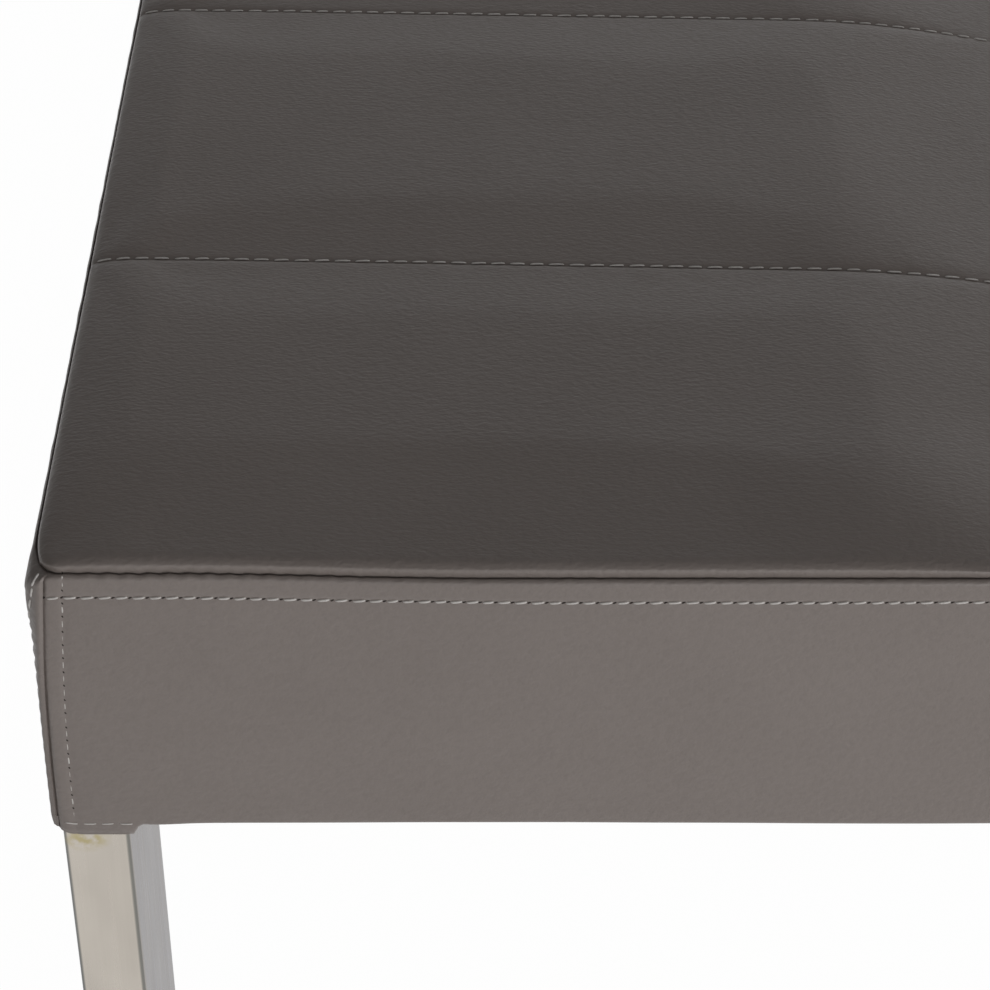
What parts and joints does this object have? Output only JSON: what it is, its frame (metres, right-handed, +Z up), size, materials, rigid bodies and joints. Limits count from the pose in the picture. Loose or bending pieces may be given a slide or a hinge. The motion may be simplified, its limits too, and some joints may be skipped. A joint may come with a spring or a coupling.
{
  "type": "upholstered bench",
  "caption": "Long backless bench with a quilted grey leather seat, stitched boxing round its sides and flat brushed steel tube legs at its corners, to sit on.",
  "frame": {"origin": "on the floor, under the middle of the seat", "axes": "+X along the bench to its right as seen from the front, +Y to the back, +Z up"},
  "size_m": [1.28, 0.47, 0.4616],
  "materials": {
    "cover_leather": "grained grey coated upholstery leather, satin",
    "seam_thread": "pale grey polyester sewing thread",
    "leg_steel": "stainless tube brushed along its length",
    "foot_plastic": "moulded black plastic",
    "frame_wood": "planed softwood, bare",
    "deck_plywood": "sanded plywood, bare",
    "seat_foam": "cut upholstery foam",
    "padding_felt": "pressed wadding",
    "dust_cloth": "black nonwoven cloth",
    "plated_fasteners": "bright zinc plate"
  },
  "bodies": {
    "root": {"front_boxing": "cover_leather", "front_padding_strip": "padding_felt", "back_boxing": "cover_leather", "back_padding_strip": "padding_felt", "left_boxing": "cover_leather", "left_padding_strip": "padding_felt", "right_boxing": "cover_leather", "right_padding_strip": "padding_felt", "dust_cover": "dust_cloth", "top_pad_1": "cover_leather", "foam_block_1": "seat_foam", "top_pad_2": "cover_leather", "foam_block_2": "seat_foam", "top_pad_3": "cover_leather", "foam_block_3": "seat_foam", "top_pad_4": "cover_leather", "foam_block_4": "seat_foam", "tie_strip_1": "dust_cloth", "cross_rail_1": "frame_wood", "tie_strip_2": "dust_cloth", "cross_rail_2": "frame_wood", "tie_strip_3": "dust_cloth", "cross_rail_3": "frame_wood", "front_rail": "frame_wood", "back_rail": "frame_wood", "left_end_rail": "frame_wood", "right_end_rail": "frame_wood", "seat_deck": "deck_plywood", "front_left_corner_block": "frame_wood", "front_left_leg": "leg_steel", "front_left_leg_plate": "leg_steel", "front_left_foot_plug": "foot_plastic", "front_right_corner_block": "frame_wood", "front_right_leg": "leg_steel", "front_right_leg_plate": "leg_steel", "front_right_foot_plug": "foot_plastic", "back_left_corner_block": "frame_wood", "back_left_leg": "leg_steel", "back_left_leg_plate": "leg_steel", "back_left_foot_plug": "foot_plastic", "back_right_corner_block": "frame_wood", "back_right_leg": "leg_steel", "back_right_leg_plate": "leg_steel", "back_right_foot_plug": "foot_plastic", "frame_screws": "plated_fasteners", "deck_screws": "plated_fasteners", "leg_bolts": "plated_fasteners", "leg_washers": "plated_fasteners", "threaded_inserts": "plated_fasteners"}
  },
  "joints": []
}
